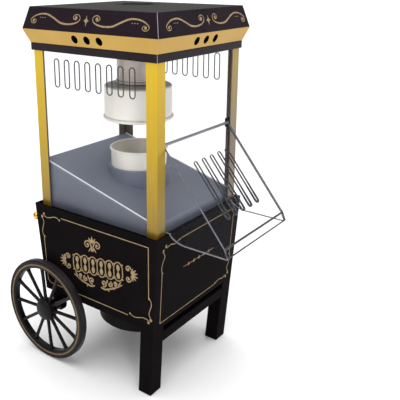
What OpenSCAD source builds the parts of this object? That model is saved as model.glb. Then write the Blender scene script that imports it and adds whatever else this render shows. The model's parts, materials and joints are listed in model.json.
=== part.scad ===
// Cart-style hot-air popcorn maker for a worktop. Millimetres, +Z up, floor at Z = 0, front towards -Y.

/* [Cabinet] */
// Width over the four corner posts
frame_w = 179; // [150:1:210]
// Depth over the four corner posts
frame_d = 201; // [166:1:232]
// Height of the canopy's lower edge
canopy_z = 438; // [400:1:500]
// Width of each flange of an angle post
post_w = 16; // [12:0.5:20]
// Sheet thickness of the posts
post_t = 1.8; // [1.2:0.1:2.6]
// Thickness of the clear panels
pane_t = 2; // [1.5:0.1:3]

/* [Side panel slots] */
// Number of slots in a side panel
slot_count = 8; // [4:1:9]
// Distance between slots
slot_pitch = 17.8; // [15:0.1:20]
// Slot width
slot_w = 8; // [5:0.5:10]
// Slot length
slot_len = 36; // [25:1:45]
// How far the slots' lower ends are below the canopy
slot_drop = 45; // [38:1:60]
// How much further forward the right panel's slots sit than the left panel's
slot_shift = 6; // [0:0.5:8]

/* [Canopy] */
// How far the lower band stands out from the posts
band_out = 2.5; // [2.4:0.1:5]
// How far the widest edge stands out from the posts
flare_out = 9.5; // [7:0.5:14]
// How far the top edge stands out from the posts
top_out = 2; // [1:0.5:5]
// Height of the lower band
low_band_h = 10; // [8:0.5:14]
// Height of the slanted middle band
mid_band_h = 17.5; // [14:0.5:22]
// Height of the upper band
top_band_h = 27.5; // [22:0.5:34]
// Sheet thickness of the bands
band_t = 2; // [1.5:0.1:2.5]
// Diameter of the vent holes
vent_d = 10; // [7:0.5:12]
// Distance between vent holes
vent_pitch = 20; // [16:0.5:24]
// Rise of the roof from its edge to its middle
roof_rise = 3; // [1:0.5:8]

/* [Base] */
// Height of the base's top edge
base_z = 228; // [215:1:250]
// Height of the base's lower edge
base_low_z = 98; // [92:1:110]
// How far the base stands out from the posts at the sides
base_out_x = 8.5; // [6:0.5:12]
// How far the base stands out from the posts at front and back
base_out_y = 5.7; // [4:0.1:8]
// Inward lean of the sides per millimetre of height
lean_x = 0.03; // [0:0.01:0.06]
// Inward lean of the front and back per millimetre of height
lean_y = 0.07; // [0.04:0.01:0.1]
// Wall thickness of the base
shell_t = 3; // [2:0.5:4]
// Width of a front leg
leg_w = 22; // [16:0.5:26]
// Depth of a front leg
leg_d = 20; // [15:0.5:25]
// Height of the rail's upper edge
rail_z = 89.5; // [82:0.5:91]
// Height of the rail itself
rail_h = 15; // [10:0.5:18]

/* [Wheels] */
// Outer diameter of a wheel
wheel_d = 148; // [130:1:160]
// Width of a rim between its two faces
rim_w = 11; // [8:0.5:13]
// Radial height of a rim
rim_h = 12; // [8:0.5:15]
// Number of spokes
spoke_count = 12; // [8:1:14]
// Diameter of a spoke
spoke_d = 4.8; // [3.5:0.1:6]
// How far the spokes are turned at rest, in degrees
spoke_turn = -5; // [-15:1:15]
// Diameter of a hub
hub_d = 31; // [24:1:36]
// Diameter of the axle
axle_d = 8; // [6:0.5:10]
// Distance of the axle behind the middle of the cabinet
axle_y = 85; // [80:0.5:90]
// Free gap between a rim and the base beside it
rim_gap = 5.5; // [4:0.5:9]

/* [Door] */
// How far the door's hinge is below the canopy
hinge_drop = 99; // [90:0.5:110]
// Height of the bend in the resting flap above the base's top edge
flap_over = 2.2; // [0:0.1:8]
// Angle of the resting flap from vertical
flap_angle = 39; // [30:1:45]
// Thickness of the door's clear plastic
door_t = 2.4; // [2:0.1:3]
// Diameter of the hinge rod
hinge_d = 3.6; // [3:0.5:5]

/* [Kettle hood and chamber] */
// Outer diameter of the hood's neck
neck_d = 56; // [54:1:62]
// Outer diameter of the hood's bell
bell_d = 91; // [86:1:100]
// How far the bell's lower edge is below the canopy
bell_drop = 86.5; // [78:0.5:94]
// How far the bell's shoulder is below the canopy
shoulder_drop = 46.5; // [38:0.5:56]
// Outer diameter of the popping chamber
chamber_d = 76; // [66:1:80]
// Height of the chamber's mouth above the base
chamber_rise = 77; // [67:1:84]
// Height of the ramp's middle above the base
ramp_rise = 37.5; // [32:0.5:47]
// Slope of the ramp in degrees
ramp_angle = 14.7; // [10:0.1:18]

/* [Fan and heater] */
// Outer diameter of the fan housing under the base
drum_d = 120; // [110:1:130]
// Height of the fan housing's underside
drum_z = 51; // [48:1:62]
// Gap between the fan wheel and the duct round it
fan_gap = 8; // [4:0.5:12]

/* [Hidden] */
$fn = 64;
running_gap = 0.05;
free_gap = 0.4;
hx = frame_w / 2;
hy = frame_d / 2;
low_top = canopy_z + low_band_h;
mid_top = low_top + mid_band_h;
roof_z = mid_top + top_band_h;
pane_x = hx - post_t;
pane_y = hy - post_t;
deck_t = 3;
deck_z = base_z - 4;
groove = 2;
ceiling_t = 2;
ceiling_z = low_top - ceiling_t;
post_top = ceiling_z - free_gap;
pan_t = 2.5;
pan_z = base_low_z + pan_t;
axle_r = axle_d / 2;
axle_z = wheel_d / 2;
rim_r = wheel_d / 2;
rim_in = hx + base_out_x - lean_x * (base_z - wheel_d) + rim_gap;
rim_mid = rim_in + rim_w / 2;
rim_out = rim_in + rim_w;
hub_r = hub_d / 2;
hub_face = rim_out + 1.5;
bracket_x = hx - 10.5;
bracket_t = 5;
hub_back = bracket_x + bracket_t + free_gap;
flap_half = hx - post_w - 0.8;
hinge_z = canopy_z - hinge_drop;
hinge_r = hinge_d / 2;
hinge_y = -(pane_y - hinge_r - free_gap);
flap_len = (hinge_z - base_z - flap_over) / cos(flap_angle);
lip_len = 11;
lip_bend = 16;
flap_dir = [-sin(flap_angle), -cos(flap_angle)];
flap_nrm = [-cos(flap_angle), sin(flap_angle)];
tip = [hinge_y, hinge_z] + flap_len * flap_dir;
lip_dir = [-sin(flap_angle - lip_bend), -cos(flap_angle - lip_bend)];
lip_nrm = [-cos(flap_angle - lip_bend), sin(flap_angle - lip_bend)];
lip_end = tip + lip_len * lip_dir - door_t / 2 * lip_nrm;
wing_low = lip_end[1] - 1.1;
neck_r = neck_d / 2;
bell_r = bell_d / 2;
bell_z = canopy_z - bell_drop;
shoulder_z = canopy_z - shoulder_drop;
sheet_t = 1;
chamber_r = chamber_d / 2;
chamber_t = 1.2;
chamber_low = base_low_z + 52;
chamber_top = base_z + chamber_rise;
ramp_z = base_z + ramp_rise;
collar_r = chamber_r + 4;
drum_r = drum_d / 2;
drum_t = 1.6;
fan_z = base_low_z - 2;
fan_r = drum_r - 6 - fan_gap;
well_r = 23.4;
well_t = 1.6;
seat_r = 27.5;
seat_z = roof_z + 0.4;
cup_gap = 0.5;
lean_deg = atan(lean_y);
switch_pos = [45, 155];
inlet_pos = [-45, 135];
knob_pos = [hx + 1, base_z - 23];
knob_r = 5.5;
ramp_front = -(pane_y - 4);
ramp_back = pane_y - pane_t;
ramp_half = pane_x - pane_t - 0.3;
ramp_t = 2;

// Half width and half depth of the leaning base at a height
function base_x(z) = hx + base_out_x - lean_x * (base_z - z);
function base_y(z) = hy + base_out_y - lean_y * (base_z - z);
// Height of the ramp's surface at a depth
function ramp_h(y) = ramp_z + y * tan(ramp_angle);

// Outline in the XZ plane pulled along Y
module along_y(half) {
  rotate([90, 0, 0])
    translate([0, 0, -half])
      linear_extrude(2 * half)
        children();
}

// Outline in the YZ plane pulled along X, between two X positions
module along_x(x0, x1) {
  rotate([90, 0, 90])
    translate([0, 0, x0])
      linear_extrude(x1 - x0)
        children();
}

// Block with four leaning sides, from half sizes at its foot and its top
module lean_block(foot, top, z0, z1) {
  intersection() {
    along_y(400)
      polygon([[-foot[0], z0], [foot[0], z0], [top[0], z1], [-top[0], z1]]);
    along_x(-400, 400)
      polygon([[-foot[1], z0], [foot[1], z0], [top[1], z1], [-top[1], z1]]);
  }
}

// Four-sided band of sheet with leaning sides
module lean_band(foot, top, z0, z1, t) {
  slope = (top - foot) / (z1 - z0);
  difference() {
    lean_block(foot, top, z0, z1);
    lean_block(foot - [t, t] - slope, top - [t, t] + slope, z0 - 1, z1 + 1);
  }
}

module round_rect(w, h, r) {
  square([w - 2 * r, h], center = true);
  square([w, h - 2 * r], center = true);
  for (sx = [-1, 1])
    for (sy = [-1, 1])
      translate([sx * (w / 2 - r), sy * (h / 2 - r)])
        circle(r);
}

module ring(r_out, r_in, z0, z1) {
  difference() {
    translate([0, 0, z0])
      cylinder(r = r_out, h = z1 - z0);
    translate([0, 0, z0 - 1])
      cylinder(r = r_in, h = z1 - z0 + 2);
  }
}

// Frame on the base's back wall: +Y out of the wall, at an X and a height
module on_back(pos) {
  translate([pos[0], base_y(pos[1]), pos[1]])
    rotate([-lean_deg, 0, 0])
      children();
}

module rod_y(r, y0, y1) {
  translate([0, y1, 0])
    rotate([90, 0, 0])
      cylinder(r = r, h = y1 - y0);
}

module rod_x(r, x0, x1) {
  translate([x0, 0, 0])
    rotate([0, 90, 0])
      cylinder(r = r, h = x1 - x0);
}

// Base: leaning walls, open at top and bottom
module base_shell() {
  color([0.08, 0.07, 0.08])
    difference() {
      lean_band([base_x(base_low_z), base_y(base_low_z)], [base_x(base_z), base_y(base_z)],
        base_low_z, base_z, shell_t);
      on_back(switch_pos)
        cube([20.4, 3 * shell_t, 28.4], center = true);
      on_back(inlet_pos)
        rod_y(6.6, -3 * shell_t, 5);
      for (side = [-1, 1])
        on_back([side * knob_pos[0], knob_pos[1]])
          rod_y(2.5 + running_gap, -3 * shell_t, 5);
    }
}

// Plate that closes the base below and carries the legs, brackets and fan housing
module base_floor_pan() {
  color([0.1, 0.1, 0.1])
    difference() {
      translate([-base_x(base_low_z) + shell_t, -base_y(base_low_z) + shell_t, base_low_z])
        cube([2 * (base_x(base_low_z) - shell_t), 2 * (base_y(base_low_z) - shell_t), pan_t]);
      translate([0, 0, base_low_z - 1])
        cylinder(r = drum_r - 4, h = pan_t + 2);
      pan_screw_places()
        translate([0, 0, -2])
          cylinder(r = 1.5 + running_gap, h = 20);
    }
}

// Deck that the posts stand on, grooved for their feet
module base_deck() {
  wx = base_x(deck_z - deck_t) - shell_t;
  wy = base_y(deck_z - deck_t) - shell_t;
  color([0.1, 0.1, 0.1])
    difference() {
      translate([-wx, -wy, deck_z - deck_t])
        cube([2 * wx, 2 * wy, deck_t]);
      translate([0, 0, deck_z - deck_t - 1])
        cylinder(r = chamber_r + 2, h = deck_t + 2);
      for (sx = [-1, 1])
        for (sy = [-1, 1])
          scale([sx, sy, 1])
            translate([0, 0, deck_z - groove])
              linear_extrude(groove + 1)
                post_outline(0.1);
    }
}

// Leg at the front, leaning with the base
module front_leg(side) {
  color([0.07, 0.06, 0.07])
    difference() {
      intersection() {
        along_y(400)
          polygon([
            [side * base_x(0), 0],
            [side * (base_x(0) - leg_w), 0],
            [side * (base_x(base_low_z) - leg_w), base_low_z],
            [side * base_x(base_low_z), base_low_z]]);
        along_x(-400, 400)
          polygon([
            [-base_y(0), 0],
            [-base_y(0) + leg_d, 0],
            [-base_y(base_low_z) + leg_d, base_low_z],
            [-base_y(base_low_z), base_low_z]]);
      }
      pan_screw_places()
        translate([0, 0, -13])
          cylinder(r = 1.5 + running_gap, h = 20);
    }
}

module front_leg_left() {
  front_leg(-1);
}

module front_leg_right() {
  front_leg(1);
}

// Rail between the two legs
module front_rail() {
  low = rail_z - rail_h;
  color([0.07, 0.06, 0.07])
    intersection() {
      along_y(400)
        polygon([
          [-base_x(low) + leg_w, low],
          [base_x(low) - leg_w, low],
          [base_x(rail_z) - leg_w, rail_z],
          [-base_x(rail_z) + leg_w, rail_z]]);
      along_x(-400, 400)
        polygon([
          [-base_y(low), low],
          [-base_y(low) + 14, low],
          [-base_y(rail_z) + 14, rail_z],
          [-base_y(rail_z), rail_z]]);
    }
}

// Where the screws through the floor pan go, at the pan's underside
module pan_screw_places() {
  for (side = [-1, 1]) {
    for (step = [6, 13])
      translate([side * (base_x(base_low_z) - leg_w / 2 - 1), -base_y(base_low_z) + step, base_low_z])
        children();
    translate([side * (bracket_x - 5), axle_y - 16, base_low_z])
      children();
  }
}

module pan_screws() {
  color([0.6, 0.6, 0.6])
    pan_screw_places() {
      union() {
        translate([0, 0, pan_t])
          cylinder(r = 2.8, h = 1.8);
        translate([0, 0, pan_t - 8])
          cylinder(r = 1.5, h = 8.5);
      }
    }
}

// Round housing of the fan under the base
module drum_housing() {
  color([0.06, 0.06, 0.06])
    rotate_extrude($fn = 96)
      polygon([
        [drum_r - 14, drum_z],
        [drum_r - 3, drum_z],
        [drum_r, drum_z + 3],
        [drum_r, base_low_z - 2],
        [drum_r + 4, base_low_z - 2],
        [drum_r + 4, base_low_z],
        [drum_r - drum_t, base_low_z],
        [drum_r - drum_t, drum_z + 3.6],
        [drum_r - 3.6, drum_z + drum_t],
        [drum_r - 14, drum_z + drum_t]]);
}

// Slotted disc that the fan draws air through
module intake_grille() {
  last = floor((drum_r - 22) / 9);
  color([0.12, 0.12, 0.12])
    difference() {
      translate([0, 0, drum_z + drum_t])
        cylinder(r = drum_r - 8, h = 2);
      for (i = [-last:last])
        translate([i * 9, 0, drum_z])
          linear_extrude(6)
            union() {
              square([4, 2 * sqrt(pow(drum_r - 20, 2) - pow(i * 9, 2))], center = true);
              for (end = [-1, 1])
                translate([0, end * sqrt(pow(drum_r - 20, 2) - pow(i * 9, 2))])
                  circle(2);
            }
    }
}

// Bar across the fan housing that the motor stands on
module motor_bracket() {
  color([0.55, 0.56, 0.58])
    difference() {
      intersection() {
        translate([-drum_r, -9, drum_z + 9])
          cube([2 * drum_r, 18, 2]);
        cylinder(r = drum_r - drum_t, h = 200);
      }
      for (side = [-1, 1])
        translate([side * 32, 0, drum_z])
          cylinder(r = 4, h = 20);
    }
}

module fan_motor() {
  low = drum_z + 11;
  color([0.65, 0.66, 0.68])
    difference() {
      union() {
        translate([0, 0, low])
          cylinder(r = 19, h = fan_z - 6 - low);
        translate([0, 0, low])
          cylinder(r = 7, h = fan_z - 2 - low);
      }
      translate([0, 0, low + 8])
        cylinder(r = 1.5 + running_gap, h = 60);
    }
}

module fan_shaft() {
  color([0.75, 0.75, 0.77])
    translate([0, 0, drum_z + 11 + 8 + free_gap])
      cylinder(r = 1.5, h = fan_z + 12 - drum_z - 19 - free_gap);
}

// Fan wheel with straight blades on a back plate
module fan_impeller() {
  color([0.2, 0.2, 0.22])
    difference() {
      union() {
        translate([0, 0, fan_z])
          cylinder(r = fan_r, h = 1.6);
        translate([0, 0, fan_z])
          cylinder(r = 8, h = 12);
        for (i = [0:9])
          rotate([0, 0, i * 36])
            translate([7, -0.8, fan_z])
              cube([fan_r - 8, 1.6, 13]);
      }
      translate([0, 0, fan_z - 1])
        cylinder(r = 1.5 + 0.02, h = 20);
    }
}

// Funnel that leads the fan's air into the chamber
module air_duct() {
  wide = drum_r - 6;
  color([0.75, 0.75, 0.72])
    rotate_extrude($fn = 96)
      polygon([
        [wide, pan_z],
        [wide + 6, pan_z],
        [wide + 6, pan_z + 2],
        [wide + 1.6, pan_z + 2],
        [wide + 1.6, pan_z + 14],
        [chamber_r, chamber_low - 10],
        [chamber_r, chamber_low],
        [chamber_r - 1.6, chamber_low],
        [chamber_r - 1.6, chamber_low - 10.6],
        [wide, pan_z + 13.4]]);
}

// Crossed insulating plates that the heating wire is wound on
module heater_former() {
  color([0.8, 0.75, 0.6])
    intersection() {
      for (turn = [0, 90])
        rotate([0, 0, turn]) {
          translate([-23.8, -0.6, chamber_low - 16])
            cube([47.6, 1.2, 30]);
          translate([-chamber_r, -0.6, chamber_low - 2.6])
            cube([chamber_d, 1.2, 2.4]);
        }
      cylinder(r = chamber_r - 1.6, h = 400);
    }
}

module heater_coil() {
  color([0.5, 0.48, 0.46])
    union() {
      for (i = [0:3])
        translate([0, 0, chamber_low - 13 + i * 8])
          rotate_extrude()
            translate([25, 0])
              circle(1.2, $fn = 24);
      rotate([0, 0, 45])
        translate([25, 0, chamber_low - 13])
          cylinder(r = 1, h = 24, $fn = 24);
    }
}

// Tube that the corn pops in, with a rolled mouth
module chamber_tube() {
  color([0.8, 0.8, 0.8])
    rotate_extrude($fn = 96)
      union() {
        translate([chamber_r - chamber_t, chamber_low])
          square([chamber_t, chamber_top - chamber_low]);
        translate([chamber_r, chamber_top])
          circle(1.8, $fn = 32);
      }
}

// Floor of the chamber, slotted so that the hot air comes in turning
module chamber_floor() {
  color([0.72, 0.72, 0.72])
    difference() {
      translate([0, 0, chamber_low + 22])
        cylinder(r = chamber_r - chamber_t, h = 2);
      for (i = [0:11])
        rotate([0, 0, i * 30])
          translate([chamber_r - 20, 4, chamber_low + 20])
            cube([14, 2.4, 6]);
    }
}

// Sleeve that seals the ramp round the chamber
module chamber_collar() {
  color([0.5, 0.52, 0.56])
    ring(collar_r, chamber_r, ramp_h(-collar_r) - 8, ramp_h(collar_r) + 5);
}

// Switch on the chamber's side that cuts the heater when it gets too hot
module thermostat() {
  color([0.85, 0.82, 0.75])
    translate([0, 0, 190])
      difference() {
        union() {
          rod_y(8, chamber_r + 0.5, chamber_r + 6);
          for (side = [-1, 1])
            translate([side * 4 - 1.5, chamber_r + 6, -0.4])
              cube([3, 7, 0.8]);
          translate([-13, chamber_r, -4])
            cube([26, 1.2, 8]);
        }
        translate([0, 0, -20])
          cylinder(r = chamber_r, h = 40);
      }
}

// Block that the mains wires are screwed into
module terminal_block() {
  color([0.9, 0.88, 0.8])
    translate([-hx + 23.5, drum_r, pan_z])
      difference() {
        cube([34, 14, 12]);
        for (i = [0:2])
          translate([7 + i * 10, 0, 6])
            rod_y(2, -1, 15);
        for (i = [0:2])
          translate([7 + i * 10, 7, 7])
            cylinder(r = 1.8, h = 8);
      }
}

// Housing and bezel of the power switch in the back wall
module switch_housing() {
  color([0.05, 0.05, 0.05])
    on_back(switch_pos)
      difference() {
        union() {
          translate([-10, -18, -14])
            cube([20, 18, 28]);
          translate([-12.5, 0, -16.5])
            cube([25, 1.6, 33]);
        }
        translate([-7.4, -9, -11])
          cube([14.8, 12, 22]);
        translate([0, -3, 0])
          rod_x(1.5 + running_gap, -9, 9);
      }
}

module switch_rocker() {
  color([0.6, 0.08, 0.06])
    on_back(switch_pos)
      translate([0, -3, 0]) {
        along_x(-7, 7)
          polygon([[-2.5, -6.5], [-2.5, 6.5], [5.4, 9.6], [4.2, 0], [6.8, -9.2]]);
        rod_x(1.5, -8.6, 8.6);
      }
}

// Bush that a mains cord would come in through
module cord_inlet_bush() {
  color([0.05, 0.05, 0.05])
    on_back(inlet_pos)
      difference() {
        union() {
          rod_y(6.5, -shell_t - 4, 0.5);
          rod_y(9.5, 0, 3);
          rod_y(8.5, -shell_t - 4, -shell_t - 0.6);
        }
        rod_y(3.4, -20, 20);
      }
}

// Brass balls that the cord is wound round
module rear_knobs() {
  color([0.85, 0.65, 0.25])
    for (side = [-1, 1])
      on_back([side * knob_pos[0], knob_pos[1]]) {
        rod_y(2.5, -shell_t - 3, 4);
        rod_y(4.4, 0, 1.6);
        rod_y(3.5, -shell_t - 3, -shell_t - 1);
        translate([0, 3 + knob_r, 0])
          sphere(knob_r, $fn = 48);
      }
}

// Hangers that carry the axle below the base
module axle_brackets() {
  back = base_y(base_low_z) - shell_t;
  color([0.07, 0.07, 0.07])
    for (side = [-1, 1])
      scale([side, 1, 1])
        difference() {
          union() {
            translate([bracket_x, axle_y - 26, base_low_z - 3])
              cube([bracket_t, back - axle_y + 26, 3]);
            translate([bracket_x - 12, axle_y - 26, base_low_z - 3])
              cube([12, back - axle_y + 26, 3]);
            along_x(bracket_x, bracket_x + bracket_t)
              polygon([
                [axle_y - 26, base_low_z - 3],
                [back, base_low_z - 3],
                [axle_y + 11.5, axle_z + 3.2],
                [axle_y + 11.5, axle_z],
                [axle_y - 11.5, axle_z],
                [axle_y - 12.4, axle_z + 3.2]]);
            translate([0, axle_y, axle_z])
              rod_x(12, bracket_x, bracket_x + bracket_t);
          }
          translate([0, axle_y, axle_z])
            rod_x(axle_r + 0.02, bracket_x - 1, bracket_x + bracket_t + 1);
          translate([bracket_x - 5, axle_y - 16, 0])
            cylinder(r = 1.5 + running_gap, h = 200);
          translate([0, axle_y - 60, base_low_z])
            cube([hx, 120, 60]);
        }
}

module axle() {
  color([0.6, 0.6, 0.62])
    translate([0, axle_y, axle_z])
      rod_x(axle_r, -hub_face + 2.5, hub_face - 2.5);
}

// Push-on clips that keep the wheels on the axle
module axle_clips() {
  color([0.7, 0.7, 0.7])
    for (side = [-1, 1])
      scale([side, 1, 1])
        translate([0, axle_y, axle_z])
          difference() {
            rod_x(axle_r + 3, hub_face - 4.4, hub_face - 3.4);
            rod_x(axle_r + 0.02, hub_face - 6, hub_face);
          }
}

// Moulded wheel: rim, spokes and hub in one, for the side given
module wheel(side) {
  color([0.09, 0.08, 0.08])
    scale([side, 1, 1])
      translate([0, axle_y, axle_z])
        difference() {
          union() {
            translate([rim_mid, 0, 0])
              rotate([0, 90, 0])
                rotate_extrude($fn = 120)
                  translate([rim_r - rim_h / 2, 0])
                    round_rect(rim_h, rim_w, 3);
            for (i = [0:spoke_count - 1])
              rotate([i * 360 / spoke_count + spoke_turn, 0, 0])
                translate([rim_mid, 0, 8])
                  cylinder(d = spoke_d, h = rim_r - rim_h / 2 - 8, $fn = 24);
            rod_x(hub_r, rim_in - 1, hub_face);
            rod_x(9, hub_back, rim_mid);
          }
          rod_x(axle_r + running_gap, 0, 200);
          rod_x(axle_r + 4, hub_face - 5, 200);
        }
}

// Cap over the hub's recess
module wheel_cap(side) {
  color([0.09, 0.08, 0.08])
    scale([side, 1, 1])
      translate([hub_face, axle_y, axle_z])
        rotate([0, 90, 0])
          rotate_extrude()
            polygon([[0, 0], [hub_r - 1, 0], [hub_r - 1, 0.8], [hub_r - 3.5, 2.6], [0, 3]]);
}

module wheel_left() {
  wheel(-1);
}

module wheel_left_cap() {
  wheel_cap(-1);
}

module wheel_right() {
  wheel(1);
}

module wheel_right_cap() {
  wheel_cap(1);
}

// Sloping sheet that the popcorn slides down, with a turned-down front edge
module ramp_floor() {
  color([0.6, 0.62, 0.66])
    difference() {
      along_x(-ramp_half, ramp_half)
        polygon([
          [ramp_back, ramp_h(ramp_back)],
          [ramp_front, ramp_h(ramp_front)],
          [ramp_front, deck_z],
          [ramp_front + ramp_t, deck_z],
          [ramp_front + ramp_t, ramp_h(ramp_front + ramp_t) - ramp_t],
          [ramp_back, ramp_h(ramp_back) - ramp_t]]);
      cylinder(r = collar_r, h = 400);
    }
}

// Walls under the ramp's two sides
module ramp_cheeks() {
  y0 = ramp_front + ramp_t;
  color([0.45, 0.48, 0.54])
    for (side = [-1, 1])
      scale([side, 1, 1])
        along_x(ramp_half - ramp_t, ramp_half)
          polygon([
            [y0, deck_z],
            [ramp_back, deck_z],
            [ramp_back, ramp_h(ramp_back) - ramp_t],
            [y0, ramp_h(y0) - ramp_t]]);
}

// Angle section of a post in the +X +Y corner, grown by a gap
module post_outline(gap) {
  difference() {
    translate([hx - post_w - gap, hy - post_w - gap])
      square(post_w + 2 * gap);
    translate([hx - post_w - 1 - gap, hy - post_w - 1 - gap])
      square(post_w - post_t + 1);
  }
}

module post(sx, sy) {
  color([0.85, 0.66, 0.2])
    scale([sx, sy, 1])
      translate([0, 0, deck_z - groove])
        linear_extrude(post_top - deck_z + groove)
          post_outline(0);
}

module post_front_left() {
  post(-1, -1);
}

module post_front_right() {
  post(1, -1);
}

module post_rear_left() {
  post(-1, 1);
}

module post_rear_right() {
  post(1, 1);
}

// Clear side panel with a row of upright slots, shifted towards the front
module side_window(side, shift) {
  color([0.85, 0.92, 0.95, 0.3])
    scale([side, 1, 1])
      along_x(pane_x - pane_t, pane_x)
        difference() {
          translate([-pane_y, deck_z])
            square([2 * pane_y, post_top - deck_z]);
          for (i = [0:slot_count - 1])
            translate([(i - (slot_count - 1) / 2) * slot_pitch - shift, canopy_z - slot_drop + slot_len / 2]) {
              square([slot_w, slot_len - slot_w], center = true);
              for (end = [-1, 1])
                translate([0, end * (slot_len - slot_w) / 2])
                  circle(slot_w / 2, $fn = 32);
            }
        }
}

module window_left() {
  side_window(-1, 0);
}

module window_right() {
  side_window(1, slot_shift);
}

module window_rear() {
  color([0.85, 0.92, 0.95, 0.3])
    translate([-pane_x + pane_t, pane_y - pane_t, deck_z])
      cube([2 * (pane_x - pane_t), pane_t, post_top - deck_z]);
}

// Clear panel above the door
module window_front() {
  low = hinge_z + hinge_r + 3;
  color([0.85, 0.92, 0.95, 0.3])
    translate([-pane_x + pane_t, -pane_y, low])
      cube([2 * (pane_x - pane_t), pane_t, post_top - low]);
}

// Blocks behind the front posts that hold the hinge rod
module hinge_brackets() {
  color([0.1, 0.1, 0.1])
    for (side = [-1, 1])
      scale([side, 1, 1])
        difference() {
          translate([flap_half + 1.2, -pane_y, hinge_z - 7])
            cube([pane_x - pane_t - flap_half - 1.2, hinge_r * 2 + 4, 10 + hinge_r]);
          translate([0, hinge_y, hinge_z])
            rod_x(hinge_r + 0.02, 0, 200);
        }
}

module hinge_rod() {
  color([0.25, 0.25, 0.26])
    translate([0, hinge_y, hinge_z])
      rod_x(hinge_r, -pane_x + pane_t + 0.5, pane_x - pane_t - 0.5);
}

// Slotted flap with its hinge barrel and turned-down lip
module door_flap() {
  h = [hinge_y, hinge_z];
  half_t = door_t / 2;
  color([0.85, 0.92, 0.95, 0.3])
    difference() {
      union() {
        along_x(-flap_half, flap_half)
          polygon([
            h + half_t * flap_nrm,
            tip + half_t * flap_nrm,
            tip + lip_len * lip_dir + half_t * lip_nrm,
            tip + lip_len * lip_dir - half_t * lip_nrm,
            tip - half_t * flap_nrm,
            h - half_t * flap_nrm]);
        translate([0, hinge_y, hinge_z])
          rod_x(hinge_r + 1.3, -flap_half, flap_half);
      }
      translate([0, hinge_y, hinge_z])
        rod_x(hinge_r + running_gap, -200, 200);
      for (i = [-2:2])
        translate([i * slot_pitch, hinge_y, hinge_z])
          rotate([-flap_angle, 0, 0]) {
            translate([-3, -10, -flap_len + 31])
              cube([6, 20, flap_len - 66]);
            for (end = [-flap_len + 31, -35])
              translate([0, 0, end])
                rod_y(3, -10, 10);
          }
    }
}

// Side wall of the door, notched to pass over the base's front wall
module door_wing(side) {
  h = [hinge_y, hinge_z];
  half_t = door_t / 2;
  wall = -base_y(base_z) - 0.2;
  color([0.85, 0.92, 0.95, 0.3])
    scale([side, 1, 1])
      along_x(flap_half - door_t, flap_half)
        polygon([
          [-pane_y + 1, base_z + 1.2],
          [-pane_y + 1, hinge_z - 8.5],
          h + 7.2 * flap_dir - half_t * flap_nrm,
          tip - half_t * flap_nrm,
          lip_end,
          [lip_end[0] + 0.6, wing_low],
          [wall - 23, wing_low],
          [wall - 16.5, wing_low + 0.7],
          [wall - 11, wing_low + 2.3],
          [wall - 5.5, wing_low + 4.9],
          [wall - 1.6, wing_low + 7.8],
          [wall - 0.2, base_z + 1.2]]);
}

module door_wing_left() {
  door_wing(-1);
}

module door_wing_right() {
  door_wing(1);
}

module canopy_lower_band() {
  color([0.08, 0.07, 0.09])
    lean_band([hx + band_out, hy + band_out], [hx + band_out, hy + band_out], canopy_z, low_top, band_t);
}

// Slanted band with three vent holes in each face
module canopy_gold_band() {
  mid_z = low_top + mid_band_h / 2;
  color([0.83, 0.65, 0.3])
    difference() {
      lean_band([hx + band_out, hy + band_out], [hx + flare_out, hy + flare_out], low_top, mid_top, band_t);
      for (i = [-1:1]) {
        translate([0, i * vent_pitch, mid_z])
          rod_x(vent_d / 2, -200, 200);
        translate([i * vent_pitch, 0, mid_z])
          rod_y(vent_d / 2, -200, 200);
      }
    }
}

module canopy_upper_band() {
  color([0.08, 0.07, 0.09])
    lean_band([hx + flare_out, hy + flare_out], [hx + top_out, hy + top_out], mid_top, roof_z, band_t);
}

// Low four-sided roof with a round hole in its middle
module canopy_roof() {
  ex = hx + top_out - band_t;
  ey = hy + top_out - band_t;
  low = roof_z - 2;
  color([0.16, 0.16, 0.16])
    difference() {
      intersection() {
        along_y(400)
          polygon([[-ex, low], [ex, low], [ex, roof_z], [0, roof_z + roof_rise], [-ex, roof_z]]);
        along_x(-400, 400)
          polygon([[-ey, low], [ey, low], [ey, roof_z], [0, roof_z + roof_rise], [-ey, roof_z]]);
      }
      translate([0, 0, low - 1])
        cylinder(r = seat_r + 2.5, h = 20);
    }
}

// Plate inside the lower band that sits on the posts and carries the hood
module canopy_ceiling() {
  ex = hx + band_out - band_t;
  ey = hy + band_out - band_t;
  color([0.1, 0.1, 0.1])
    difference() {
      translate([-ex, -ey, ceiling_z])
        cube([2 * ex, 2 * ey, ceiling_t]);
      translate([0, 0, ceiling_z - 1])
        cylinder(r = neck_r, h = ceiling_t + 2);
    }
}

// Round well in the roof that the measuring cup hangs in
module filler_well() {
  color([0.1, 0.1, 0.1])
    rotate_extrude($fn = 96)
      polygon([
        [well_r, low_top + 3],
        [neck_r + 4, low_top + 3],
        [neck_r + 4, low_top + 5],
        [well_r + well_t, low_top + 5],
        [well_r + well_t, roof_z - 4],
        [seat_r + 2.5, roof_z - 4],
        [seat_r + 2.5, seat_z + 1.4],
        [seat_r, seat_z + 1.4],
        [seat_r, seat_z],
        [well_r, seat_z]]);
}

// Flanged neck of the hood, hung from the ceiling plate
module kettle_neck() {
  color([0.82, 0.82, 0.82])
    rotate_extrude($fn = 96)
      polygon([
        [neck_r - sheet_t, shoulder_z + 1],
        [neck_r, shoulder_z + 1],
        [neck_r, low_top],
        [neck_r + 6, low_top],
        [neck_r + 6, low_top + 3],
        [neck_r - sheet_t, low_top + 3]]);
}

module kettle_band() {
  color([0.3, 0.3, 0.3])
    ring(neck_r + 1.6, neck_r, shoulder_z + 2, shoulder_z + 7);
}

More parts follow.
